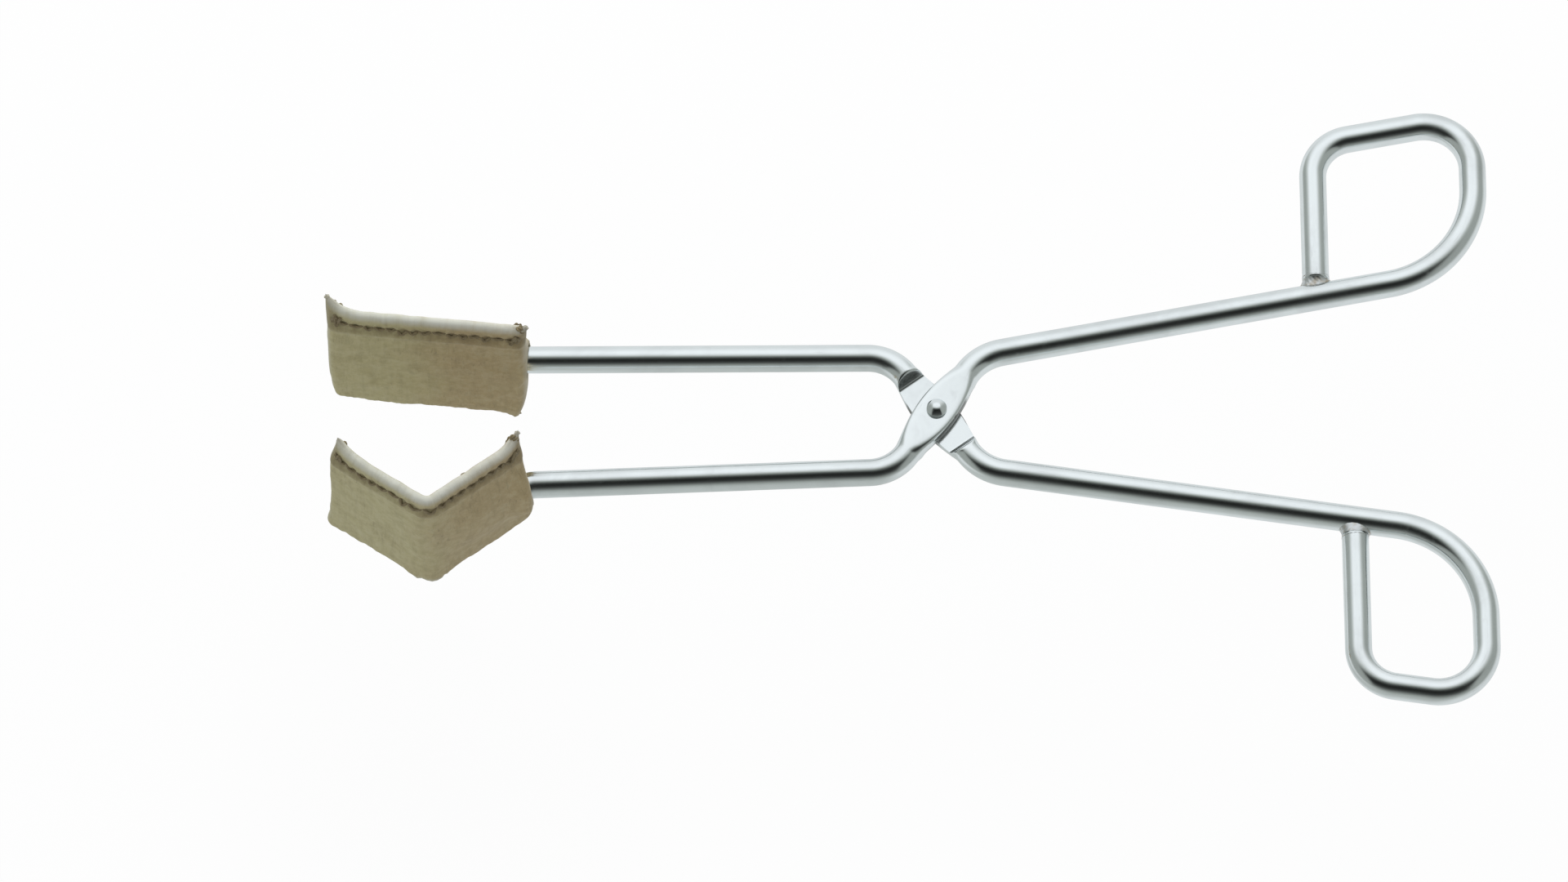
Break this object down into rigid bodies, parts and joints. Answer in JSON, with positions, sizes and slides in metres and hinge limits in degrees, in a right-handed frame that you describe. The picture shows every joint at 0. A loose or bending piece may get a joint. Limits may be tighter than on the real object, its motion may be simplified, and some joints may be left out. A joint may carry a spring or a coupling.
{
  "type": "flask tongs",
  "caption": "Crossed round-rod tongs with ring handles, a riveted lap joint, and a flat jaw facing a V jaw, each a steel plate in a sewn glass-cloth sleeve.",
  "frame": {"origin": "centre of the grip: level with the rods' middle plane, above the V jaw's corner, on the tongs' long middle line", "axes": "+X towards the ring handles, +Y towards the flat jaw, +Z along the rivet towards the front arm's blade"},
  "size_m": [0.3019, 0.1682, 0.044],
  "materials": {
    "polished_steel": "polished bright",
    "rivet_steel": "bright",
    "plate_steel": "mill",
    "weld_steel": "plated weld",
    "glass_cloth": "woven, matt",
    "brown_thread": "twisted thread"
  },
  "bodies": {
    "rear": {"rear_arm": "polished_steel", "pivot_rivet": "rivet_steel", "flat_jaw_plate": "plate_steel", "flat_jaw_sleeve": "glass_cloth", "flat_jaw_thread": "brown_thread", "thumb_ring_weld": "weld_steel"},
    "front": {"front_arm": "polished_steel", "v_jaw_plate": "plate_steel", "v_jaw_sleeve": "glass_cloth", "v_jaw_thread": "brown_thread", "finger_ring_weld": "weld_steel"}
  },
  "joints": [
    {"name": "pivot", "type": "hinge", "parent": "rear", "child": "front", "pos_m": [0.132, 0, 0], "axis": [0, 0, 1], "range_deg": [-11.4, 28]}
  ]
}
